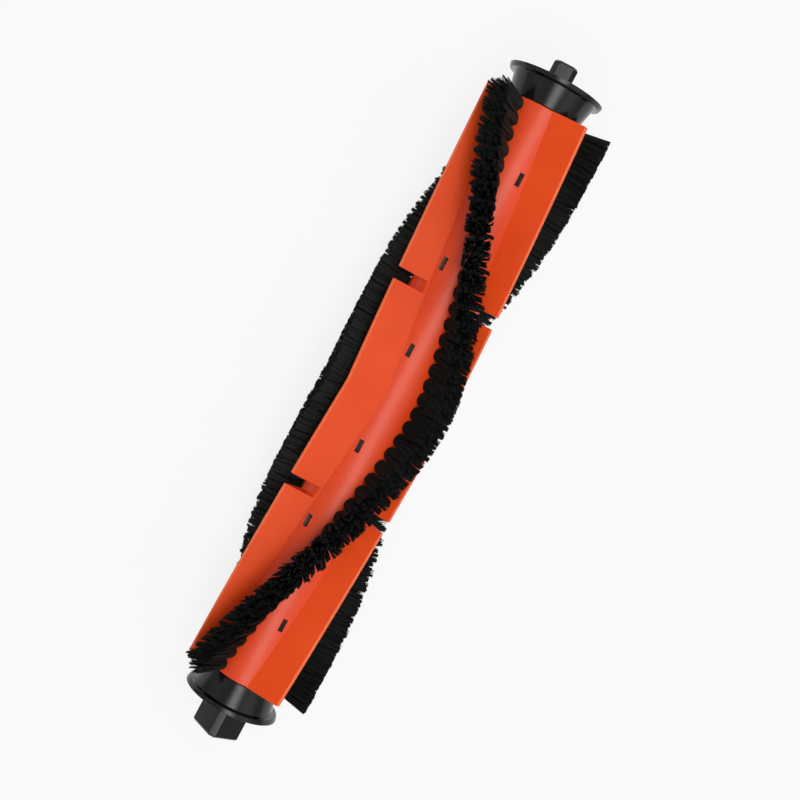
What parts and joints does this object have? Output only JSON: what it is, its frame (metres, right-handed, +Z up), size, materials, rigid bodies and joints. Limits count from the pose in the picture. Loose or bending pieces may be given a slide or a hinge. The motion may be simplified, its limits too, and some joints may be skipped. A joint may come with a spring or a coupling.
{
  "type": "robot vacuum roller brush",
  "caption": "Roller brush for a robot vacuum: orange core with chevron rubber fins between planted bristle rows, flanged black ends, a square drive and a free-turning square bearing cap.",
  "frame": {"origin": "on the surface the brush lies on, below the middle of its overall length and width", "axes": "+X along the roller's axis from the bearing end to the square drive, +Z up from the surface"},
  "size_m": [0.176, 0.0352, 0.0351],
  "materials": {
    "core_plastic": "gloss",
    "end_plastic": "gloss",
    "pin_steel": "ground",
    "bush_bronze": "sintered",
    "fin_rubber": "satin",
    "bristle_nylon": "satin",
    "anchor_wire": "drawn"
  },
  "bodies": {
    "roller": {"core": "core_plastic", "drive_end_cap": "end_plastic", "bearing_end_flange": "end_plastic", "axle_pin": "pin_steel", "fin_strip_1": "fin_rubber", "fin_strip_2": "fin_rubber", "fin_strip_3": "fin_rubber", "bristle_row_1": "bristle_nylon", "bristle_row_2": "bristle_nylon", "bristle_row_3": "bristle_nylon", "tuft_anchors_1": "anchor_wire", "tuft_anchors_2": "anchor_wire", "tuft_anchors_3": "anchor_wire"},
    "cap": {"bearing_cap": "end_plastic", "bearing_bush": "bush_bronze"}
  },
  "joints": [
    {"name": "bearing_spin", "type": "hinge", "parent": "roller", "child": "cap", "pos_m": [-0.08385, 0, 0.01752], "axis": [1, 0, 0], "continuous": true}
  ]
}
